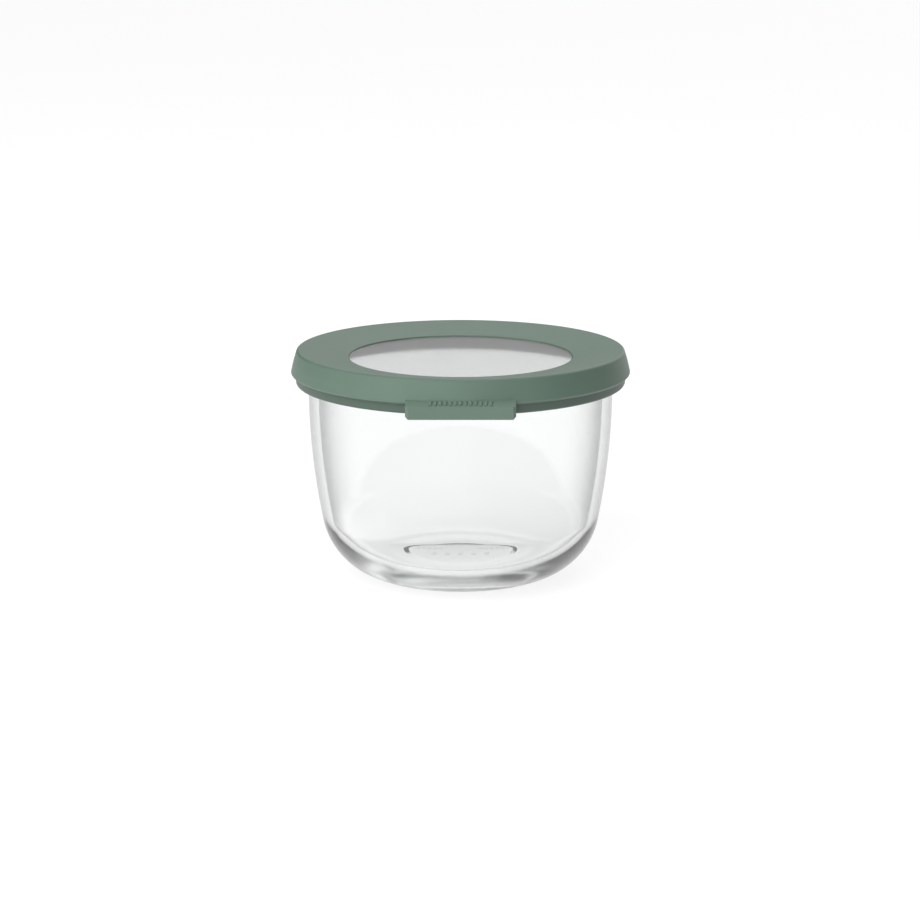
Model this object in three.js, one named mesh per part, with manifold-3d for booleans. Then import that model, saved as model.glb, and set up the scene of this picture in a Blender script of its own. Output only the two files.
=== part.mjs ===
// A round glass food container with a press-on lid, in millimetres, +Z up.
// The origin is the centre of the ring that the glass bowl stands on, and the lid's lift tab points to -Y.
import * as THREE from "three";
import { mergeVertices } from "three/addons/utils/BufferGeometryUtils.js";
import { ConvexGeometry } from "three/addons/geometries/ConvexGeometry.js";
import Module from "manifold-3d";

// Shared: facets around every round piece, steps in each kind of arc, and the gap that touching pieces keep.
const AROUND = 48;
const BASE_STEPS = 8;
const WALL_STEPS = 3;
const CORNER_STEPS = 2;
const GAP = 0.3;

// Glass bowl, pressed in one piece.
const glass = {
  rimRadius: 56.15,
  height: 80.3,
  wall: 3.65,
  floor: 7.0,
  rimBand: 10.3,
  rimRounding: 1.6,
  outerCorner: 26,
  innerCorner: 20,
  outerBulge: 250,
  innerBulge: 248,
  recessRadius: 22.0,
  recessDepth: 1.3,
  recessSlope: 0.8,
};

// Green rim of the lid: a skirt that hangs over the glass and a dished top that holds the window.
const rim = {
  fit: 0.45,
  skirt: 5.94,
  rise: 4.82,
  sideHeight: 9.02,
  sideSlope: 2.27,
  sideBulge: 0.2,
  bandHeight: 3.8,
  bandStep: 0.6,
  bandSlope: 2.4,
  topWidth: 19.06,
  dish: 2.87,
  thickness: 1.4,
  edgeRounding: 1.0,
  lipRounding: 0.4,
};

// Tab at the front of the rim, for lifting the lid off.
const tab = {
  width: 38.6,
  reach: 1.0,
  drop: 0.9,
  frontHeight: 4.7,
  slopeHeight: 1.9,
  rootDepth: 0.3,
  cornerRounding: 1.0,
  steps: 4,
};

// Clear window, held by its flange under the rim's lip.
const pane = {
  recess: 0.35,
  thickness: 2.0,
  flangeWidth: 4.3,
  flangeThickness: 0.6,
};

// Inner frame: a plug that centres the lid in the glass, with a ledge that carries the window.
const frame = {
  fit: 0.6,
  plugWall: 1.6,
  plugDepth: 6.4,
  ledgeThickness: 0.8,
  ledgeWidth: 1.0,
};

// Seal between the rim and the top of the glass.
const seal = { lipRounding: 0.4 };

// Places that follow from the sizes above.
const glassInner = glass.rimRadius - glass.wall;
const skirtInner = glass.rimRadius + rim.fit;
const creaseRadius = skirtInner + rim.skirt;
const topRadius = creaseRadius - rim.sideSlope;
const windowRadius = topRadius - rim.topWidth;
const lidTop = glass.height + rim.rise;
const creaseZ = lidTop - rim.sideHeight;
const skirtBottom = creaseZ - rim.bandHeight;
const windowEdgeZ = lidTop - rim.dish;
const paneRadius = windowRadius - GAP;
const paneFlange = windowRadius + pane.flangeWidth;
const paneTop = windowEdgeZ - pane.recess;
const paneBottom = paneTop - pane.thickness;
const plugRadius = glassInner - frame.fit;
const plugInner = plugRadius - frame.plugWall;

// Height of the underside of the rim's dished top, at a radius.
function undersideZ(radius) {
  return lidTop - rim.dish * (topRadius - radius) / rim.topWidth - rim.thickness;
}

// Points along an arc of a circle, both ends included; angles in radians.
function arc(centreR, centreZ, radius, from, to, steps) {
  return Array.from({ length: steps + 1 }, (_, i) => {
    const angle = from + (to - from) * i / steps;
    return new THREE.Vector2(centreR + radius * Math.cos(angle), centreZ + radius * Math.sin(angle));
  });
}

// Rounds the corner b, between a and c, with an arc tangent to both sides.
function roundedCorner(a, b, c, radius, steps) {
  const toA = a.clone().sub(b).normalize();
  const toC = c.clone().sub(b).normalize();
  const half = Math.acos(THREE.MathUtils.clamp(toA.dot(toC), -1, 1)) / 2;
  const reach = radius / Math.tan(half);
  const centre = toA.clone().add(toC).normalize().multiplyScalar(radius / Math.sin(half)).add(b);
  const start = toA.multiplyScalar(reach).add(b).sub(centre);
  const end = toC.multiplyScalar(reach).add(b).sub(centre);
  const turn = Math.atan2(start.cross(end), start.dot(end));
  return arc(centre.x, centre.y, radius, start.angle(), start.angle() + turn, steps);
}

// A closed outline from corners given as [r, z] or [r, z, rounding].
function outline(corners) {
  const points = corners.map(([r, z]) => new THREE.Vector2(r, z));
  const count = points.length;
  return points.flatMap((b, i) => {
    const rounding = corners[i][2];
    if (!rounding) return [b];
    return roundedCorner(points[(i + count - 1) % count], b, points[(i + 1) % count], rounding, CORNER_STEPS);
  });
}

// Turns an outline of [r, z] points about the Z axis.
function turned(points) {
  return new THREE.LatheGeometry(points, AROUND).rotateX(Math.PI / 2);
}

// Turns a closed outline that stays clear of the axis.
function turnedRing(corners) {
  const points = outline(corners);
  return turned([...points, points[0].clone()]);
}

// One side of the glass: a corner arc that runs into a long, slightly bulging wall arc, upright at the rim band.
function glassSide(rimRadius, floorZ, cornerRadius, bulgeRadius) {
  const bandZ = glass.height - glass.rimBand;
  const cornerZ = floorZ + cornerRadius;
  const bulgeR = rimRadius - bulgeRadius;
  const cornerR = bulgeR + Math.sqrt((bulgeRadius - cornerRadius) ** 2 - (bandZ - cornerZ) ** 2);
  const meet = Math.atan2(cornerZ - bandZ, cornerR - bulgeR);
  return [
    ...arc(cornerR, cornerZ, cornerRadius, -Math.PI / 2, meet, BASE_STEPS),
    ...arc(bulgeR, bandZ, bulgeRadius, meet, 0, WALL_STEPS).slice(1),
  ];
}

// The bowl: outside from the base recess up, over the rounded rim, and down the inside to the floor.
function glassBowl() {
  const outside = glassSide(glass.rimRadius, 0, glass.outerCorner, glass.outerBulge);
  const inside = glassSide(glassInner, glass.floor, glass.innerCorner, glass.innerBulge);
  const round = glass.rimRounding;
  const top = glass.height - round;
  return turned([
    new THREE.Vector2(0, glass.recessDepth),
    new THREE.Vector2(glass.recessRadius - glass.recessSlope, glass.recessDepth),
    new THREE.Vector2(glass.recessRadius, 0),
    ...outside,
    ...arc(glass.rimRadius - round, top, round, 0, Math.PI / 2, CORNER_STEPS + 1),
    ...arc(glassInner + round, top, round, Math.PI / 2, Math.PI, CORNER_STEPS + 1),
    ...inside.reverse(),
    new THREE.Vector2(0, glass.floor),
  ]);
}

// Section of the green rim, from the lip at the window, out over the top and down the side to the skirt.
function rimSection() {
  const lipBottom = windowEdgeZ - rim.thickness;
  const bandTop = creaseRadius - rim.bandStep;
  return [
    [windowRadius, lipBottom],
    [skirtInner, undersideZ(skirtInner)],
    [skirtInner, skirtBottom + rim.bandStep],
    [skirtInner + rim.bandStep, skirtBottom],
    [creaseRadius - rim.bandSlope, skirtBottom, rim.bandStep],
    [bandTop, creaseZ - rim.bandHeight / 2, rim.bandHeight / 2],
    [bandTop, creaseZ - rim.bandStep],
    [creaseRadius, creaseZ, rim.lipRounding],
    [creaseRadius - rim.sideSlope / 2 + rim.sideBulge, creaseZ + rim.sideHeight / 2],
    [topRadius, lidTop, rim.edgeRounding],
    [windowRadius, windowEdgeZ, rim.lipRounding],
  ];
}

// The tab: a flat front face with rounded ends, and a slope that rises from its top edge into the rim's side.
function tabSolid() {
  const front = -(creaseRadius + tab.reach);
  const back = -(skirtInner + rim.skirt / 3);
  const half = tab.width / 2;
  const round = tab.cornerRounding;
  const bottom = skirtBottom - tab.drop;
  const shoulder = bottom + tab.frontHeight;
  const crest = shoulder + tab.slopeHeight;
  const crestRadius = creaseRadius - rim.sideSlope * (crest - creaseZ) / rim.sideHeight - tab.rootDepth;
  const spread = Math.asin(half / crestRadius);
  const points = [];
  for (const side of [-1, 1]) {
    points.push(new THREE.Vector3(side * (half - round), front + round / 2, bottom));
    points.push(new THREE.Vector3(side * (half - round), back, bottom));
    points.push(new THREE.Vector3(side * half, back, bottom + round));
    for (let i = 0; i <= tab.steps; i++) {
      const angle = i / tab.steps * Math.PI / 2;
      const x = side * (half - round + round * Math.sin(angle));
      const y = front + round - round * Math.cos(angle);
      points.push(new THREE.Vector3(x, y, bottom + round), new THREE.Vector3(x, y, shoulder));
    }
  }
  for (let i = -tab.steps; i <= tab.steps; i++) {
    const angle = spread * i / tab.steps;
    points.push(new THREE.Vector3(crestRadius * Math.sin(angle), -crestRadius * Math.cos(angle), crest));
  }
  return new ConvexGeometry(points);
}

// The window pane: a raised disc inside the lip and a thinner flange under it.
function windowPane() {
  const flangeTop = paneBottom + pane.flangeThickness;
  return turned([
    new THREE.Vector2(0, paneBottom),
    new THREE.Vector2(paneFlange, paneBottom),
    new THREE.Vector2(paneFlange, flangeTop),
    new THREE.Vector2(paneRadius, flangeTop),
    new THREE.Vector2(paneRadius, paneTop),
    new THREE.Vector2(0, paneTop),
  ]);
}

// The inner frame: plug wall, sloping flange under the rim's top, and a ledge under the window's flange.
function innerFrame() {
  const flangeInner = paneFlange + GAP;
  const ledgeInner = flangeInner - frame.ledgeWidth;
  const ledgeTop = paneBottom - GAP;
  const ledgeBottom = ledgeTop - frame.ledgeThickness;
  const plugBottom = glass.height - frame.plugDepth;
  return turnedRing([
    [plugRadius, plugBottom],
    [plugRadius, undersideZ(plugRadius) - GAP],
    [flangeInner, undersideZ(flangeInner) - GAP],
    [flangeInner, ledgeTop],
    [ledgeInner, ledgeTop],
    [ledgeInner, ledgeBottom],
    [plugInner, ledgeBottom],
    [plugInner, plugBottom],
  ]);
}

// The seal: a soft ring that fills the groove over the top of the glass.
function sealRing() {
  const inner = plugRadius + GAP;
  const outer = skirtInner - GAP;
  const bottom = glass.height + GAP;
  return turnedRing([
    [inner, bottom, seal.lipRounding],
    [outer, bottom, seal.lipRounding],
    [outer, undersideZ(outer) - GAP],
    [inner, undersideZ(inner) - GAP],
  ]);
}

// Joins and cuts closed geometries.
const wasm = await Module();
wasm.setup();

function solidOf(geometry) {
  const bare = geometry.clone();
  bare.deleteAttribute("normal");
  bare.deleteAttribute("uv");
  const merged = mergeVertices(bare, 1e-4);
  return new wasm.Manifold(new wasm.Mesh({
    numProp: 3,
    vertProperties: Float32Array.from(merged.attributes.position.array),
    triVerts: Uint32Array.from(merged.index.array),
  }));
}

function geometryOf(solid) {
  const mesh = solid.getMesh();
  const geometry = new THREE.BufferGeometry();
  geometry.setAttribute("position", new THREE.BufferAttribute(mesh.vertProperties, 3));
  geometry.setIndex(new THREE.BufferAttribute(mesh.triVerts, 1));
  geometry.computeVertexNormals();
  return geometry;
}

function piece(name, geometry, color, roughness, extra = {}) {
  const material = new THREE.MeshStandardMaterial({ color, roughness, metalness: 0, ...extra });
  const mesh = new THREE.Mesh(geometry, material);
  mesh.name = name;
  return mesh;
}

const bowl = new THREE.Group();
bowl.add(piece("glass_bowl", glassBowl(), 0xf4f8f7, 0.03, { transparent: true, opacity: 0.3 }));

const lid = new THREE.Group();
const rimSolid = solidOf(turnedRing(rimSection())).add(solidOf(tabSolid()));
lid.add(piece("lid_rim", geometryOf(rimSolid), 0x829687, 0.5));
lid.add(piece("lid_window", windowPane(), 0xe6eae8, 0.08, { transparent: true, opacity: 0.4 }));
lid.add(piece("lid_inner_frame", innerFrame(), 0x8f9090, 0.5));
lid.add(piece("seal_ring", sealRing(), 0xd9dcd8, 0.6));

const container = new THREE.Group();
container.add(bowl, lid);

export default container;
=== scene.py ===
# %% [markdown]
# # A glass food container with a press-on lid
# The bowl is pressed glass, and the lid is moulded plastic with a window, so almost every piece is turned
# about one upright axis. Such a piece can be modelled by hand in quads or lathed from half of its
# section. We lathe with bmesh's spin, because glass shows every flaw of a surface, and a spun section is
# smooth all the way round. The imported CAD model gives each piece its place and size. We load it first and
# read the sizes off its boxes.

# %% Load the frame
import math

import bmesh
import bpy
from mathutils import Matrix, Vector


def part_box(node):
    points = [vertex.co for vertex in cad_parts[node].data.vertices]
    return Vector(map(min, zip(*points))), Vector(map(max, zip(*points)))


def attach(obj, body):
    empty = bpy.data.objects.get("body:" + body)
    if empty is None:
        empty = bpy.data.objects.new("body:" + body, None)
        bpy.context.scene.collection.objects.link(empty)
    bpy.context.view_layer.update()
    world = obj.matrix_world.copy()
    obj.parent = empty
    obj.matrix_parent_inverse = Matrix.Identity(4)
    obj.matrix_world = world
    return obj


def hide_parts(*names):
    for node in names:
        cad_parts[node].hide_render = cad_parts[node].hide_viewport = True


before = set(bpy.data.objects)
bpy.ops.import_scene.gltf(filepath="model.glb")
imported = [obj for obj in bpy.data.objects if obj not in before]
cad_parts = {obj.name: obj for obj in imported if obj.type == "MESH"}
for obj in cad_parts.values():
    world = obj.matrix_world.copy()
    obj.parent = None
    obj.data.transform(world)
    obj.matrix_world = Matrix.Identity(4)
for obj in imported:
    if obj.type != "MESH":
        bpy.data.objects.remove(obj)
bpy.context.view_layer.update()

# %% [markdown]
# ## Sizes
# Sizes are in millimetres, as on a drawing, and `MM` turns them into Blender's metres. The outer sizes
# are read off the CAD nodes, so that the fine pieces land exactly where the plain ones are.

# %% Sizes read from the CAD nodes
MM = 0.001


def node_mm(name):
    low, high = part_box(name)
    return low / MM, high / MM


_, glass_high = node_mm("glass_bowl")
rim_low, rim_high = node_mm("lid_rim")
pane_low, pane_high = node_mm("lid_window")
plug_low, plug_high = node_mm("lid_inner_frame")
seal_low, seal_high = node_mm("seal_ring")

RIM_RADIUS = glass_high.x
GLASS_HEIGHT = glass_high.z
CREASE_RADIUS = rim_high.x
LID_TOP = rim_high.z
TAB_FRONT = rim_low.y
TAB_BOTTOM = rim_low.z
print(f"glass {2 * RIM_RADIUS:.1f} wide and {GLASS_HEIGHT:.1f} high, lid {2 * CREASE_RADIUS:.1f} mm wide")

# %% [markdown]
# ## Camera
# The camera stands in front of the tab, 13 degrees above the horizon, about a metre away. A long lens
# from far away keeps the ellipses of the lid and the base nearly parallel, as in a packshot.

# %% Camera
CAMERA_LENS, SENSOR_WIDTH = 105.2, 36
CAMERA_ELEVATION = math.radians(12.94)
CAMERA_DISTANCE = 1.0
CAMERA_TARGET = Vector((-0.0002, 0, 42.63 * MM))
camera_data = bpy.data.cameras.new("camera")
camera_data.lens = CAMERA_LENS
camera_data.sensor_width = SENSOR_WIDTH
camera = bpy.data.objects.new("camera", camera_data)
bpy.context.scene.collection.objects.link(camera)
backwards = Vector((0, -math.cos(CAMERA_ELEVATION), math.sin(CAMERA_ELEVATION)))
camera.location = CAMERA_TARGET + CAMERA_DISTANCE * backwards
camera.rotation_euler = (-backwards).to_track_quat("-Z", "Y").to_euler()
bpy.context.scene.camera = camera
bpy.context.scene.view_settings.view_transform = "Standard"
print("camera at", tuple(round(v, 3) for v in camera.location))

# %% [markdown]
# ## How far light travels inside glass
# A ray that enters the thick base can bounce a dozen times between the polished faces before it finds a
# way out. Blender drops a path after four reflections and draws it black, so clear glass would show inky
# patches. We let the paths run on, which costs little time because only the clear pieces use them.

# %% Light paths
PATH_TURNS = 32
light_paths = bpy.context.scene.cycles
light_paths.max_bounces = PATH_TURNS
light_paths.glossy_bounces = PATH_TURNS
light_paths.transmission_bounces = PATH_TURNS
print("a path may turn", light_paths.max_bounces, "times")

# %% [markdown]
# ## Colour and node helpers
# Colours are picked as sRGB hex values, and shaders work in linear light, so one function converts them.
# Another adds a node, sets it and links it in a single call, which keeps the materials below short. A new
# material starts with a shader, an output and the object's own coordinates, because every pattern here is
# placed by those.

# %% Colour and node helpers


def linear(hex_colour):
    parts = [int(hex_colour[i:i + 2], 16) / 255 for i in (1, 3, 5)]
    return tuple(p / 12.92 if p <= 0.04045 else ((p + 0.055) / 1.055) ** 2.4 for p in parts) + (1.0,)


def add(tree, kind, settings=None, **inputs):
    """Adds a node; settings are its own properties, inputs are socket values or (node, output) links."""
    node = tree.nodes.new(kind)
    for key, value in (settings or {}).items():
        setattr(node, key, value)
    for key, value in inputs.items():
        socket = node.inputs[key.replace("_", " ")]
        if isinstance(value, tuple) and isinstance(value[0], bpy.types.Node):
            tree.links.new(value[0].outputs[value[1]], socket)
        else:
            socket.default_value = value
    return node


def new_material(name):
    material = bpy.data.materials.new(name)
    material.use_nodes = True
    tree = material.node_tree
    tree.nodes.clear()
    shader = add(tree, "ShaderNodeBsdfPrincipled")
    output = add(tree, "ShaderNodeOutputMaterial", Surface=(shader, "BSDF"))
    place = add(tree, "ShaderNodeTexCoord")
    return material, tree, shader, output, place


print("middle grey #808080 is", round(linear("#808080")[0], 3), "in linear light")

# %% [markdown]
# ## Pressed glass
# The bowl is borosilicate glass, pressed in a polished mould and fire-polished. Perfectly even glass
# looks like a computer drawing, so four small things are added. The mould leaves a very slow waviness,
# here a bump too weak to see as a pattern. The underside is less polished than the walls, because it
# rests in the mould and on tables, so the roughness rises towards the floor. A little absorption colours
# the long ways through the base. And the slanted parts get a painted reflection: a real room has dark
# things in it, which show in a glass's slanted edges but are missing in a white studio, so a Layer Weight
# node paints the slanted parts darker in the base colour. An attribute of the mesh,
# `tint_start`, says how slanted is slanted enough.

# %% Pressed glass material
LEAST_POLISHED, MOST_POLISHED = 4 * MM, 15 * MM
# how slanted a face must be for the painted reflection of dark surroundings to be full
FULL_EDGE_SHADE_SLANT = 0.95


def pressed_glass():
    material, tree, shader, output, place = new_material("pressed_clear_glass")
    shader.inputs["IOR"].default_value = 1.474
    shader.inputs["Transmission Weight"].default_value = 1.0
    height = add(tree, "ShaderNodeSeparateXYZ", Vector=(place, "Object"))
    polish = add(tree, "ShaderNodeMapRange", {"interpolation_type": "SMOOTHSTEP"}, Value=(height, "Z"),
                 From_Min=LEAST_POLISHED, From_Max=MOST_POLISHED, To_Min=0.13, To_Max=0.0)
    tree.links.new(polish.outputs["Result"], shader.inputs["Roughness"])
    slant = add(tree, "ShaderNodeLayerWeight", Blend=0.5)
    start = add(tree, "ShaderNodeAttribute", {"attribute_name": "tint_start"})
    glance = add(tree, "ShaderNodeMapRange", {"interpolation_type": "SMOOTHSTEP"}, Value=(slant, "Facing"),
                 From_Min=(start, "Fac"), From_Max=FULL_EDGE_SHADE_SLANT)
    # painted reflection of dark surroundings: the slanted parts shift from the clear colour to a dark one
    painted_edge_shade = add(tree, "ShaderNodeMix", {"data_type": "RGBA"}, Factor=(glance, "Result"))
    painted_edge_shade.inputs[6].default_value = linear("#FAFBFB")
    painted_edge_shade.inputs[7].default_value = linear("#1C201F")
    tree.links.new(painted_edge_shade.outputs[2], shader.inputs["Base Color"])
    wave = add(tree, "ShaderNodeTexNoise", Vector=(place, "Object"), Scale=1 / (30 * MM), Detail=0.0)
    bump = add(tree, "ShaderNodeBump", Strength=0.04, Distance=0.02 * MM, Height=(wave, "Fac"))
    tree.links.new(bump.outputs["Normal"], shader.inputs["Normal"])
    depth = add(tree, "ShaderNodeVolumeAbsorption", Color=(0.5, 0.56, 0.54, 1.0), Density=3.0)
    tree.links.new(depth.outputs["Volume"], output.inputs["Volume"])
    return material


glass_material = pressed_glass()
print("made", glass_material.name)

# %% [markdown]
# ## Sage green soft plastic
# The rim is a thermoplastic elastomer moulded in a finely spark-eroded tool. That gives an even matte
# skin: a grain of about 0.25 mm that breaks up the highlight, very slight clouding of the colour, and
# soft broad reflections. The band under the crease gets painted shade: its base colour is darker, for the
# shade that the overhanging crease casts on it. An attribute of the mesh, `under_crease`, says where it is.

# %% Sage green soft plastic material
SAGE_CLOUD, SAGE_GRAIN = 9 * MM, 0.25 * MM


def sage_elastomer():
    material, tree, shader, _, place = new_material("sage_green_moulded_elastomer")
    cloud = add(tree, "ShaderNodeTexNoise", Vector=(place, "Object"), Scale=1 / SAGE_CLOUD, Detail=3.0)
    tone = add(tree, "ShaderNodeMix", {"data_type": "RGBA"}, Factor=(cloud, "Fac"))
    tone.inputs[6].default_value = linear("#5A6E62")
    tone.inputs[7].default_value = linear("#5D7265")
    # painted shade: the band under the crease gets a darker copy of the sage, for the shade the crease
    # casts
    under = add(tree, "ShaderNodeAttribute", {"attribute_name": "under_crease"})
    painted_band_shade = add(tree, "ShaderNodeMix", {"data_type": "RGBA"}, Factor=(under, "Fac"))
    tree.links.new(tone.outputs[2], painted_band_shade.inputs[6])
    painted_band_shade.inputs[7].default_value = linear("#47584E")
    tree.links.new(painted_band_shade.outputs[2], shader.inputs["Base Color"])
    shader.inputs["IOR"].default_value = 1.48
    grain = add(tree, "ShaderNodeTexNoise", Vector=(place, "Object"), Scale=1 / SAGE_GRAIN, Detail=2.0)
    gloss = add(tree, "ShaderNodeMapRange", Value=(grain, "Fac"), To_Min=0.42, To_Max=0.56)
    tree.links.new(gloss.outputs["Result"], shader.inputs["Roughness"])
    bump = add(tree, "ShaderNodeBump", Strength=0.35, Distance=0.02 * MM, Height=(grain, "Fac"))
    tree.links.new(bump.outputs["Normal"], shader.inputs["Normal"])
    return material


sage_material = sage_elastomer()
print("made", sage_material.name)

# %% [markdown]
# ## Window, plug frame and seal
# The window is clear injection-moulded plastic, slightly smokier than the glass, with a faint moulding
# haze. The plug frame is a neutral grey plastic with a satin skin, and the seal is a pale matte silicone.
# Those two differ only in colour, gloss and grain, so one function makes both.

# %% Window, frame and seal materials


def clear_plastic():
    material, tree, shader, _, place = new_material("clear_moulded_plastic")
    shader.inputs["Base Color"].default_value = linear("#F5F6F6")
    shader.inputs["IOR"].default_value = 1.5
    shader.inputs["Transmission Weight"].default_value = 1.0
    haze = add(tree, "ShaderNodeTexNoise", Vector=(place, "Object"), Scale=1 / (14 * MM), Detail=2.0)
    gloss = add(tree, "ShaderNodeMapRange", Value=(haze, "Fac"), To_Min=0.02, To_Max=0.06)
    tree.links.new(gloss.outputs["Result"], shader.inputs["Roughness"])
    return material


def satin_plastic(name, dark, light, rough_low, rough_high, grain_mm):
    material, tree, shader, _, place = new_material(name)
    grain = add(tree, "ShaderNodeTexNoise", Vector=(place, "Object"), Scale=1 / (grain_mm * MM), Detail=2.0)
    tone = add(tree, "ShaderNodeMix", {"data_type": "RGBA"}, Factor=(grain, "Fac"))
    tone.inputs[6].default_value = linear(dark)
    tone.inputs[7].default_value = linear(light)
    tree.links.new(tone.outputs[2], shader.inputs["Base Color"])
    gloss = add(tree, "ShaderNodeMapRange", Value=(grain, "Fac"), To_Min=rough_low, To_Max=rough_high)
    tree.links.new(gloss.outputs["Result"], shader.inputs["Roughness"])
    bump = add(tree, "ShaderNodeBump", Strength=0.3, Distance=0.02 * MM, Height=(grain, "Fac"))
    tree.links.new(bump.outputs["Normal"], shader.inputs["Normal"])
    return material


pane_material = clear_plastic()
frame_material = satin_plastic("neutral_grey_satin_plastic", dark="#5C5D5D", light="#626363",
                               rough_low=0.35, rough_high=0.5, grain_mm=0.4)
seal_material = satin_plastic("pale_matte_silicone", dark="#D4D6D2", light="#DEE0DC",
                              rough_low=0.5, rough_high=0.65, grain_mm=0.5)
print("made", pane_material.name, frame_material.name, seal_material.name)

# %% [markdown]
# ## Lathing helpers
# `arc` gives the points of a round stretch, `rounded` turns sharp corners of a section into tangent arcs,
# and `lathe` spins a section once round the Z axis. A full spin merges its last step with its first one,
# the points on the axis are merged into a pole, and then the normals are made to face outwards.
# `finished` turns the bmesh into an object with smooth shading. Smooth shading bends the light near every
# edge, even on a flat face, and through a window that shows at once. The Weighted Normal modifier lets
# the large flat faces win, so that they stay flat. Blender's operators may list new faces in another
# order each time they run, and a boolean then cuts a few of them differently, so `in_order` sorts them.

# %% Lathing helpers
AROUND = 256
SEAM_DISTANCE = 1e-6
SHARP_ANGLE = math.radians(35)


def arc(centre_r, centre_z, radius, start, end, steps):
    angles = [start + (end - start) * i / steps for i in range(steps + 1)]
    return [(centre_r + radius * math.cos(a), centre_z + radius * math.sin(a)) for a in angles]


def rounded(corners, steps=6):
    """A closed section from (r, z) or (r, z, rounding) corners."""
    points = []
    for i, corner in enumerate(corners):
        here = Vector(corner[:2])
        if len(corner) < 3:
            points.append(tuple(here))
            continue
        before = (Vector(corners[i - 1][:2]) - here).normalized()
        after = (Vector(corners[(i + 1) % len(corners)][:2]) - here).normalized()
        half = before.angle(after) / 2
        centre = here + (before + after).normalized() * corner[2] / math.sin(half)
        start = here + before * corner[2] / math.tan(half) - centre
        turn = start.angle_signed(here + after * corner[2] / math.tan(half) - centre)
        first = math.atan2(start.y, start.x)
        points += arc(centre.x, centre.y, corner[2], first, first - turn, steps)
    return points


def lathe(section, closed):
    """Spins a section; one that isn't closed has to start and end on the axis."""
    bm = bmesh.new()
    verts = [bm.verts.new((r * MM, 0, z * MM)) for r, z in section]
    edges = [bm.edges.new(pair) for pair in zip(verts, verts[1:])]
    if closed:
        edges.append(bm.edges.new((verts[-1], verts[0])))
    bmesh.ops.spin(bm, geom=verts + edges, cent=(0, 0, 0), axis=(0, 0, 1), angle=2 * math.pi, steps=AROUND,
                   use_merge=True, use_duplicate=False)
    bmesh.ops.remove_doubles(bm, verts=bm.verts, dist=SEAM_DISTANCE)
    bmesh.ops.recalc_face_normals(bm, faces=bm.faces)
    return bm


def even_shading(piece):
    """Lets the large flat faces decide how the light turns at their edges, so that flats stay flat."""
    weighted = piece.modifiers.new("even_shading", "WEIGHTED_NORMAL")
    weighted.keep_sharp = True
    weighted.weight = 100


def set_shading(mesh):
    mesh.polygons.foreach_set("use_smooth", [True] * len(mesh.polygons))
    mesh.set_sharp_from_angle(angle=SHARP_ANGLE)


def in_order(bm):
    """Lists edges and faces by the numbers of their points, so that every run gives the same mesh."""
    bm.verts.index_update()
    for elements in (bm.edges, bm.faces):
        ranked = sorted(elements, key=lambda element: sorted(vert.index for vert in element.verts))
        for rank, element in enumerate(ranked):
            element.index = rank
        elements.sort()


def finished(bm, name, material):
    in_order(bm)
    mesh = bpy.data.meshes.new(name)
    bm.to_mesh(mesh)
    bm.free()
    mesh.materials.append(material)
    set_shading(mesh)
    piece = bpy.data.objects.new(name, mesh)
    bpy.context.scene.collection.objects.link(piece)
    even_shading(piece)
    print(f"{name}: {len(mesh.polygons)} faces, {piece.dimensions.z / MM:.2f} mm high")
    return piece


print("a lathed piece has", AROUND, "steps round its axis")

# %% [markdown]
# ## Small blocks and joins
# Moulded details such as ribs, pads and a lift tab are one with the piece they sit on. A block that is
# only pushed into a piece looks right until light has to pass through both, so each detail is joined by a
# boolean, which leaves one closed skin. The exact solver keeps every cut across the flat faces, and such
# splinters spoil smooth shading. A limited dissolve turns them back into whole flats.

# %% Small blocks and joins
SAME_POINT = 0.002 * MM
SAME_PLANE = math.radians(0.2)


def bevelled_block(size, place, edge):
    """A block of the given size in mm, put in its place by a matrix, with rounded edges."""
    bm = bmesh.new()
    bmesh.ops.create_cube(bm, size=MM)
    bmesh.ops.transform(bm, matrix=place @ Matrix.Diagonal((*size, 1)), verts=bm.verts)
    bmesh.ops.bevel(bm, geom=bm.edges, affect="EDGES", offset=edge * MM, segments=2, profile=0.5,
                    material=-1)
    return bm


def shift(x, y, z):
    return Matrix.Translation((x * MM, y * MM, z * MM))


def merged(parts):
    """One bmesh that holds several."""
    whole = bmesh.new()
    for part in parts:
        mesh = bpy.data.meshes.new("part")
        part.to_mesh(mesh)
        part.free()
        whole.from_mesh(mesh)
        bpy.data.meshes.remove(mesh)
    return whole


def joined(base, tool):
    """The union of two pieces, as one closed mesh with its shading set again."""
    for piece in (base, tool):
        piece.modifiers.clear()
    boolean = base.modifiers.new("join", "BOOLEAN")
    boolean.operation = "UNION"
    boolean.solver = "EXACT"
    boolean.object = tool
    evaluated = base.evaluated_get(bpy.context.evaluated_depsgraph_get())
    mesh = bpy.data.meshes.new_from_object(evaluated)
    base.modifiers.clear()
    base.data = mesh
    bpy.data.objects.remove(tool)
    bm = bmesh.new()
    bm.from_mesh(mesh)
    bmesh.ops.remove_doubles(bm, verts=bm.verts, dist=SAME_POINT)
    bmesh.ops.dissolve_limit(bm, angle_limit=SAME_PLANE, verts=bm.verts, edges=bm.edges)
    open_edges = sum(1 for edge in bm.edges if not edge.is_manifold)
    bm.to_mesh(mesh)
    bm.free()
    set_shading(mesh)
    even_shading(base)
    print(f"{base.name}: joined, {len(mesh.polygons)} faces, {open_edges} open edges")
    return base


print(f"a join merges points closer than {SAME_POINT / MM:.3f} mm")

# %% [markdown]
# ## The glass bowl
# Each side of the wall is two arcs that meet without a corner: a round one at the bottom and a long,
# almost straight one above it, upright at the band that the lid covers. The inside has its own arcs, so
# the glass is 3.6 mm thick at the rim and over 5 mm at the base, which is what makes the base glitter.
# Under the base is a shallow recess.

# %% The glass bowl's section
WALL = 3.65
FLOOR = 7.0
RIM_BAND = 10.3
RIM_ROUNDING = 1.7
OUTER_CORNER, INNER_CORNER = 26.0, 20.0
OUTER_BULGE, INNER_BULGE = 250.0, 248.0
CORNER_STEPS, BULGE_STEPS, RIM_STEPS = 30, 12, 8
RECESS_RADIUS, RECESS_DEPTH = 22.0, 1.3
RECESS_SLOPE, RECESS_ROUNDING = 2.0, 0.8


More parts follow.
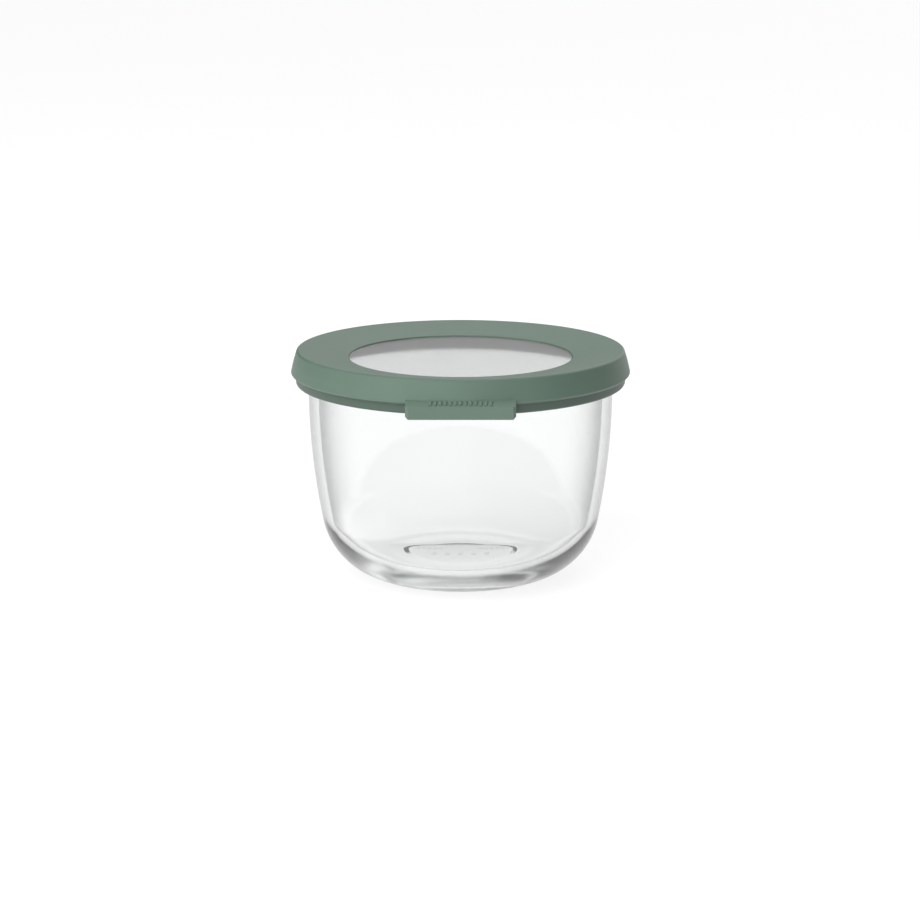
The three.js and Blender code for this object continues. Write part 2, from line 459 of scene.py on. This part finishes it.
def glass_side(radius, floor_z, corner, bulge):
    """One side of the wall from the flat base to the rim: a corner arc, then a bulge arc tangent to it."""
    band_z = GLASS_HEIGHT - RIM_BAND
    corner_z = floor_z + corner
    bulge_r = radius - bulge
    corner_r = bulge_r + math.sqrt((bulge - corner) ** 2 - (band_z - corner_z) ** 2)
    meet = math.atan2(corner_z - band_z, corner_r - bulge_r)
    round_corner = arc(corner_r, corner_z, corner, -math.pi / 2, meet, CORNER_STEPS)
    return round_corner + arc(bulge_r, band_z, bulge, meet, 0, BULGE_STEPS)[1:]


def glass_section():
    inner_radius = RIM_RADIUS - WALL
    top = GLASS_HEIGHT - RIM_ROUNDING
    recess = rounded([
        (0, RECESS_DEPTH),
        (RECESS_RADIUS - RECESS_SLOPE, RECESS_DEPTH, RECESS_ROUNDING),
        (RECESS_RADIUS, 0, RECESS_ROUNDING),
        (RECESS_RADIUS + RECESS_SLOPE, 0),
    ])[:-1]
    over_rim = arc(RIM_RADIUS - RIM_ROUNDING, top, RIM_ROUNDING, 0, math.pi / 2, RIM_STEPS)
    over_rim += arc(inner_radius + RIM_ROUNDING, top, RIM_ROUNDING, math.pi / 2, math.pi, RIM_STEPS)
    inside = glass_side(inner_radius, FLOOR, INNER_CORNER, INNER_BULGE)
    outside = glass_side(RIM_RADIUS, 0, OUTER_CORNER, OUTER_BULGE)
    return recess + outside + over_rim + inside[::-1] + [(0, FLOOR)]


print("the glass section has", len(glass_section()), "points")

# %% [markdown]
# ## Marks under the base
# A mould leaves small raised marks in the recess, such as a size or a mould number. These are plain pads
# in two rows: short bars behind, square dots in front. They could be a bump in the material, but a real
# pad bends the light that passes through it. Seen through the floor at a low angle they sparkle, because
# there the glass is close to reflecting all light.

# %% Marks under the base
MARK_DEPTH, MARK_SINK, MARK_EDGE = 0.5, 0.3, 0.12
BAR_SIZE, BAR_PITCH, BAR_START, BAR_ROW = (1.2, 3.2), 2.2, 7.5, 6.0
DOT_SIZE, DOT_PITCH, DOT_ROW = (1.8, 1.8), 5.0, -7.0
MARKS_IN_A_ROW = 5


def mark(x, y, size):
    """A pad on the recess's ceiling; its upper part is sunk into the glass."""
    place = shift(x, y, RECESS_DEPTH + (MARK_SINK - MARK_DEPTH) / 2)
    return bevelled_block((*size, MARK_DEPTH + MARK_SINK), place, MARK_EDGE)


def base_marks():
    row = range(MARKS_IN_A_ROW)
    bars = [mark(side * (BAR_START + BAR_PITCH * i), BAR_ROW, BAR_SIZE) for side in (-1, 1) for i in row]
    dots = [mark(DOT_PITCH * (i - (MARKS_IN_A_ROW - 1) / 2), DOT_ROW, DOT_SIZE) for i in row]
    return merged(bars + dots)


print("marks in the recess:", 2 * MARKS_IN_A_ROW, "bars and", MARKS_IN_A_ROW, "dots")

# %% [markdown]
# ## The bowl with its marks and its painted edge shade
# The section is lathed, the marks are joined to it, and then each point gets its
# `tint_start`, where the painted shade of the slanted glass begins. The inside of the wall
# darkens earliest. The base and the rim, where light bounces many times, hardly darken at all. The middle
# of the wall could be worked out from the section's arcs, but a parabola is near enough to tell inside
# from out.

# %% The glass bowl
INSIDE_START, OUTSIDE_START, BASE_START = 0.3, 0.45, 0.75
WALL_LOW, WALL_HIGH = 10.0, 24.0
STRAIGHT_ABOVE, DRAW_IN = 70, 500


def wall_middle(z):
    """Roughly the radius halfway through the wall, which draws in towards the base."""
    return RIM_RADIUS - WALL / 2 - max(0, STRAIGHT_ABOVE - z) ** 2 / DRAW_IN


# Writes where the painted reflection of dark surroundings starts on the glass: inside earliest, base and
# rim latest.
def mark_painted_edge_shade_start(piece):
    start = piece.data.attributes.new("tint_start", "FLOAT", "POINT")
    values = []
    for vertex in piece.data.vertices:
        x, y, z = vertex.co / MM
        wall_start = INSIDE_START if math.hypot(x, y) < wall_middle(z) else OUTSIDE_START
        share = max(0, min(1, (z - WALL_LOW) / (WALL_HIGH - WALL_LOW), (GLASS_HEIGHT - z) / RIM_BAND))
        values.append(BASE_START + (wall_start - BASE_START) * share)
    start.data.foreach_set("value", values)


glass_bowl = finished(lathe(glass_section(), closed=False), "bowl_glass", glass_material)
glass_bowl = joined(glass_bowl, finished(base_marks(), "marks", glass_material))
mark_painted_edge_shade_start(glass_bowl)
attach(glass_bowl, "bowl")
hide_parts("glass_bowl")

# %% [markdown]
# ## The lid's rim
# The rim is one soft moulding: a dished top, a side that leans out to a crease, a recessed band under the
# crease and a skirt inside. It could be built from rings and bevelled, but its section is easy to draw,
# so it is lathed like the glass.

# %% The rim's section
SKIRT_CLEARANCE = 0.45
SKIRT_INNER = RIM_RADIUS + SKIRT_CLEARANCE
SKIRT_CHAMFER, SKIRT_ROUNDING = 0.6, 0.3
SIDE_SLOPE, SIDE_HEIGHT = 2.27, 9.02
BULGE_INSET, BULGE_HEIGHT, BULGE_ROUNDING = 0.9, 4.5, 20
BAND_HEIGHT, BAND_INSET, BAND_LEDGE, BAND_DRAFT = 3.8, 1.6, 1.0, 0.3
BAND_TOP_DROP, BAND_FOOT_ROUNDING, BAND_TOP_ROUNDING, LEDGE_ROUNDING = 0.3, 1.1, 0.3, 0.15
CREASE_LIFT, CREASE_OUT, CREASE_ROUNDING = 0.5, 0.03, 0.7
TOP_ROUNDING, WINDOW_EDGE_ROUNDING = 1.0, 0.4
TOP_RADIUS = CREASE_RADIUS - SIDE_SLOPE
TOP_WIDTH, DISH, RIM_THICKNESS = 19.06, 2.87, 1.4
WINDOW_RADIUS = TOP_RADIUS - TOP_WIDTH
ROUNDED_OFF = 0.12
TOP_Z = LID_TOP + ROUNDED_OFF
CREASE_Z = TOP_Z - SIDE_HEIGHT
SKIRT_BOTTOM = CREASE_Z - BAND_HEIGHT


def underside(radius):
    return TOP_Z - DISH * (TOP_RADIUS - radius) / TOP_WIDTH - RIM_THICKNESS


def rim_section():
    return rounded([
        (WINDOW_RADIUS, TOP_Z - DISH - RIM_THICKNESS),
        (SKIRT_INNER, underside(SKIRT_INNER)),
        (SKIRT_INNER, SKIRT_BOTTOM + SKIRT_CHAMFER, SKIRT_ROUNDING),
        (SKIRT_INNER + SKIRT_CHAMFER, SKIRT_BOTTOM, SKIRT_ROUNDING),
        (CREASE_RADIUS - BAND_INSET - BAND_DRAFT, SKIRT_BOTTOM, BAND_FOOT_ROUNDING),
        (CREASE_RADIUS - BAND_INSET, CREASE_Z - BAND_TOP_DROP, BAND_TOP_ROUNDING),
        (CREASE_RADIUS - BAND_LEDGE, CREASE_Z - BAND_TOP_DROP, LEDGE_ROUNDING),
        (CREASE_RADIUS + CREASE_OUT, CREASE_Z + CREASE_LIFT, CREASE_ROUNDING),
        (CREASE_RADIUS - BULGE_INSET, CREASE_Z + BULGE_HEIGHT, BULGE_ROUNDING),
        (TOP_RADIUS, TOP_Z, TOP_ROUNDING),
        (WINDOW_RADIUS, TOP_Z - DISH, WINDOW_EDGE_ROUNDING),
    ])


print(f"the rim's opening is {2 * WINDOW_RADIUS:.1f} mm wide and its top is {RIM_THICKNESS} mm thick")

# %% [markdown]
# ## The lift tab
# The tab is what a thumb pushes up: a flat front, small chamfers and a slope that runs into the rim's
# side. A cube could be cut and bevelled into it, but no face of it is hollow, so a convex hull round its
# corners is the shortest way, and the round crest is a row of points on an arc.

# %% The lift tab
TAB_WIDTH, TAB_FRONT_HEIGHT, TAB_SLOPE_HEIGHT = 38.6, 4.7, 1.9
TAB_CHAMFER, TAB_LIP, TAB_ROOT = 1.0, 0.3, 2.0
CREST_INSET, CREST_STEPS = 0.8, 16
CREST_RADIUS = CREASE_RADIUS - CREST_INSET


def tab_block():
    front, back = TAB_FRONT, -(SKIRT_INNER + TAB_ROOT)
    half, bottom, shoulder = TAB_WIDTH / 2, TAB_BOTTOM, TAB_BOTTOM + TAB_FRONT_HEIGHT
    inner, heel = half - TAB_CHAMFER, bottom + TAB_CHAMFER
    bm = bmesh.new()
    for side in (-1, 1):
        for x, y, z in [(inner, front + TAB_LIP, bottom), (inner, back, bottom), (half, back, heel),
                        (half, front + TAB_CHAMFER, heel), (inner, front, heel),
                        (half, front + TAB_CHAMFER, shoulder), (inner, front, shoulder)]:
            bm.verts.new((side * x * MM, y * MM, z * MM))
    crest = shoulder + TAB_SLOPE_HEIGHT
    for i in range(-CREST_STEPS, CREST_STEPS + 1):
        angle = math.asin(half / CREST_RADIUS) * i / CREST_STEPS
        x, y = CREST_RADIUS * math.sin(angle), -CREST_RADIUS * math.cos(angle)
        bm.verts.new((x * MM, y * MM, crest * MM))
    bmesh.ops.convex_hull(bm, input=bm.verts)
    bmesh.ops.recalc_face_normals(bm, faces=bm.faces)
    return bm


print(f"the tab is {TAB_WIDTH} mm wide and its front is {TAB_FRONT_HEIGHT} mm high")

# %% [markdown]
# ## Grip ribs
# Upright ribs on the tab's slope give the thumb a grip. They could be an array of one rib, but thirteen
# blocks in a loop are as short and are joined to the rim in one go. Each leans back as the slope does.

# %% Grip ribs
RIB_SIZE, RIB_EDGE, RIB_PITCH, RIB_COUNT = (0.9, 1.7, 1.3), 0.2, 1.75, 13
RIB_INSET, RIB_RAISE, SLOPE_DEPTH = 1.0, 5.65, 2.0
RIB_LEAN = math.atan2(TAB_SLOPE_HEIGHT, SLOPE_DEPTH)


def grip_ribs():
    ribs = []
    for i in range(RIB_COUNT):
        x = RIB_PITCH * (i - (RIB_COUNT - 1) / 2)
        place = shift(x, TAB_FRONT + RIB_INSET, TAB_BOTTOM + RIB_RAISE) @ Matrix.Rotation(RIB_LEAN, 4, "X")
        ribs.append(bevelled_block(RIB_SIZE, place, RIB_EDGE))
    return merged(ribs)


print(f"the ribs lean back by {math.degrees(RIB_LEAN):.0f} degrees")

# %% [markdown]
# ## The rim with its tab
# The lathed rim takes in the tab and then the ribs, and its points are marked for the painted shade on
# the band under the crease. The tab stands further out than the band, so a limit on the radius keeps it
# in the rim's own colour, without the painted shade.

# %% The rim with its tab
BAND_REACH = 0.9


def mark_under_crease(piece):
    """Writes 1 on the band under the crease, where the material paints shade, and 0 elsewhere."""
    under = piece.data.attributes.new("under_crease", "FLOAT", "POINT")
    points = [vertex.co / MM for vertex in piece.data.vertices]
    reach = CREASE_RADIUS - BAND_REACH
    band = [1.0 if p.z < CREASE_Z and math.hypot(p.x, p.y) < reach else 0.0 for p in points]
    under.data.foreach_set("value", band)


lid_rim = finished(lathe(rim_section(), closed=True), "lid_rim_moulding", sage_material)
lid_rim = joined(lid_rim, finished(tab_block(), "tab", sage_material))
lid_rim = joined(lid_rim, finished(grip_ribs(), "ribs", sage_material))
mark_under_crease(lid_rim)
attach(lid_rim, "lid")
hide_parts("lid_rim")

# %% [markdown]
# ## Window, plug frame and seal
# Under the rim sit three more rings. The window is a flat plate with a thin flange that the rim covers.
# The plug frame reaches into the glass, carries the window on a ledge and shows through it as a grey
# band. The soft seal lies between plug and skirt, over the top of the glass. All three are turned shapes,
# so each is one lathed section, with small gaps where the real ones are welded or pressed together.

# %% Window
PANE_LAP = 0.05
PANE_RADIUS = WINDOW_RADIUS + PANE_LAP
PANE_FLANGE, FLANGE_THICKNESS = pane_high.x, 0.6
FLANGE_ROUNDING, PANE_ROUNDING = 0.15, 0.3
pane = finished(lathe(rounded([
    (0, pane_low.z),
    (PANE_FLANGE, pane_low.z, FLANGE_ROUNDING),
    (PANE_FLANGE, pane_low.z + FLANGE_THICKNESS, FLANGE_ROUNDING),
    (PANE_RADIUS, pane_low.z + FLANGE_THICKNESS),
    (PANE_RADIUS, pane_high.z, PANE_ROUNDING),
    (0, pane_high.z),
]), closed=False), "lid_window_pane", pane_material)

# %% Plug frame
GAP = 0.3
PLUG_RADIUS, PLUG_WALL, PLUG_BOTTOM = plug_high.x, 1.6, plug_low.z
LEDGE_WIDTH, LEDGE_THICKNESS = 1.0, 0.8
FOOT_ROUNDING, EDGE_ROUNDING, HOLLOW_ROUNDING = 0.3, 0.2, 0.5
FLANGE_INNER = PANE_FLANGE + GAP
LEDGE_TOP = pane_low.z - GAP
LEDGE_BOTTOM = LEDGE_TOP - LEDGE_THICKNESS
plug_frame = finished(lathe(rounded([
    (PLUG_RADIUS, PLUG_BOTTOM, FOOT_ROUNDING),
    (PLUG_RADIUS, underside(PLUG_RADIUS) - GAP, EDGE_ROUNDING),
    (FLANGE_INNER, underside(FLANGE_INNER) - GAP),
    (FLANGE_INNER, LEDGE_TOP),
    (FLANGE_INNER - LEDGE_WIDTH, LEDGE_TOP, EDGE_ROUNDING),
    (FLANGE_INNER - LEDGE_WIDTH, LEDGE_BOTTOM, EDGE_ROUNDING),
    (PLUG_RADIUS - PLUG_WALL, LEDGE_BOTTOM, HOLLOW_ROUNDING),
    (PLUG_RADIUS - PLUG_WALL, PLUG_BOTTOM, FOOT_ROUNDING),
]), closed=True), "lid_plug_frame", frame_material)

# %% Seal
SEAL_ROUNDING = 0.4
seal = finished(lathe(rounded([
    (PLUG_RADIUS + GAP, seal_low.z, SEAL_ROUNDING),
    (seal_high.x, seal_low.z, SEAL_ROUNDING),
    (seal_high.x, underside(seal_high.x) - GAP),
    (PLUG_RADIUS + GAP, underside(PLUG_RADIUS + GAP) - GAP),
]), closed=True), "lid_seal", seal_material)

# %% The inner pieces ride with the lid
INNER_PIECES = [
    (pane, "lid_window", "window_clear"),
    (plug_frame, "lid_inner_frame", "frame_grey"),
    (seal, "seal_ring", "seal_silicone"),
]
for piece, node, slot in INNER_PIECES:
    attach(piece, "lid")
    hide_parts(node)
    print(piece.name, "takes the place of", node)

# %% [markdown]
# ## Floor
# A product on pure white stands on a sheet of white acrylic that is lit from below. Lamps alone would
# need to overexpose the lid before the floor turned white, so the floor here gives off light as well. It
# lies a tenth of a millimetre under the glass, because two faces in one plane flicker in a render.

# %% Floor
FLOOR_HALF, FLOOR_DROP = 6.0, 0.1
FLOOR_GLOW = 0.86


def floor_plane():
    bm = bmesh.new()
    bmesh.ops.create_grid(bm, x_segments=1, y_segments=1, size=FLOOR_HALF, matrix=shift(0, 0, -FLOOR_DROP))
    material, tree, shader, _, place = new_material("white_studio_acrylic")
    speck = add(tree, "ShaderNodeTexNoise", Vector=(place, "Object"), Scale=1 / (25 * MM))
    tone = add(tree, "ShaderNodeMix", {"data_type": "RGBA"}, Factor=(speck, "Fac"))
    tone.inputs[6].default_value = linear("#7B7B7B")
    tone.inputs[7].default_value = linear("#7D7D7D")
    tree.links.new(tone.outputs[2], shader.inputs["Base Color"])
    shader.inputs["Roughness"].default_value = 0.9
    shader.inputs["Specular IOR Level"].default_value = 0.2
    shader.inputs["Emission Color"].default_value = (1, 1, 1, 1)
    shader.inputs["Emission Strength"].default_value = FLOOR_GLOW
    floor = finished(bm, "studio_floor", material)


floor_plane()

# %% [markdown]
# ## The studio round the bowl
# Glass has no colour of its own: it shows what is round it. In a real studio, black cards stand left and
# right of a glass to draw its edges, and a bright sheet hangs behind it. The world does the same with the
# direction of a ray: X turns it dark on both sides, Y makes it brighter behind the bowl than behind the
# camera, and a dim patch low in the back is what the flat window mirrors towards the camera.

# %% World
LEFT_CARD, RIGHT_CARD, BACK_SHEET = (-0.26, -0.06), (0.45, 0.9), (-0.2, 0.5)
DIM_PATCH, PATCH_EDGE = (0, 0.974, 0.225), (0.12, 0.28)


def studio_world():
    world = bpy.data.worlds.new("studio")
    bpy.context.scene.world = world
    world.use_nodes = True
    tree = world.node_tree
    tree.nodes.clear()
    place = add(tree, "ShaderNodeTexCoord")
    apart = add(tree, "ShaderNodeSeparateXYZ", Vector=(place, "Generated"))
    away = add(tree, "ShaderNodeVectorMath", {"operation": "DISTANCE"})
    tree.links.new(place.outputs["Generated"], away.inputs[0])
    away.inputs[1].default_value = DIM_PATCH
    smooth = {"interpolation_type": "SMOOTHSTEP"}
    factors = [
        add(tree, "ShaderNodeMapRange", smooth, Value=(apart, "X"),
            From_Min=LEFT_CARD[0], From_Max=LEFT_CARD[1], To_Min=0.02, To_Max=1.05),
        add(tree, "ShaderNodeMapRange", smooth, Value=(apart, "X"),
            From_Min=RIGHT_CARD[0], From_Max=RIGHT_CARD[1], To_Min=1.0, To_Max=0.04),
        add(tree, "ShaderNodeMapRange", Value=(apart, "Y"),
            From_Min=BACK_SHEET[0], From_Max=BACK_SHEET[1], To_Min=0.2, To_Max=1.4),
        add(tree, "ShaderNodeMapRange", smooth, Value=(away, "Value"),
            From_Min=PATCH_EDGE[0], From_Max=PATCH_EDGE[1], To_Min=0.34, To_Max=1.0),
    ]
    strength = factors[0].outputs["Result"]
    for factor in factors[1:]:
        product = add(tree, "ShaderNodeMath", {"operation": "MULTIPLY"})
        tree.links.new(strength, product.inputs[0])
        tree.links.new(factor.outputs["Result"], product.inputs[1])
        strength = product.outputs["Value"]
    backdrop = add(tree, "ShaderNodeBackground", Color=(1, 1, 1, 1))
    tree.links.new(strength, backdrop.inputs["Strength"])
    add(tree, "ShaderNodeOutputWorld", Surface=(backdrop, "Background"))


studio_world()
print("world strength is made of", len(bpy.context.scene.world.node_tree.nodes), "nodes")

# %% [markdown]
# ## Lamps
# Two large softboxes model the lid: a key light from the front left and a weak fill from above. Their
# squares would show in the glass as hard bright patches. A real studio hides them with a tent or a
# polarising filter. Here they are hidden from reflected and transmitted rays, so that they light the lid
# and leave the glass clear.

# %% Lamps


def area_light(name, place, aim, width, height, watts):
    data = bpy.data.lights.new(name, "AREA")
    data.shape = "RECTANGLE"
    data.size, data.size_y, data.energy = width, height, watts
    light = bpy.data.objects.new(name, data)
    bpy.context.scene.collection.objects.link(light)
    light.location = place
    light.rotation_euler = (Vector(aim) - Vector(place)).to_track_quat("-Z", "Y").to_euler()
    light.visible_glossy = False
    light.visible_transmission = False


area_light("key_softbox", place=(-0.95, -1.27, 1.09), aim=(0, 0, 0.06), width=2.2, height=1.8, watts=54)
area_light("top_softbox", place=(0, 0.2, 1.3), aim=(0, 0, 0.05), width=1.2, height=1.2, watts=3)
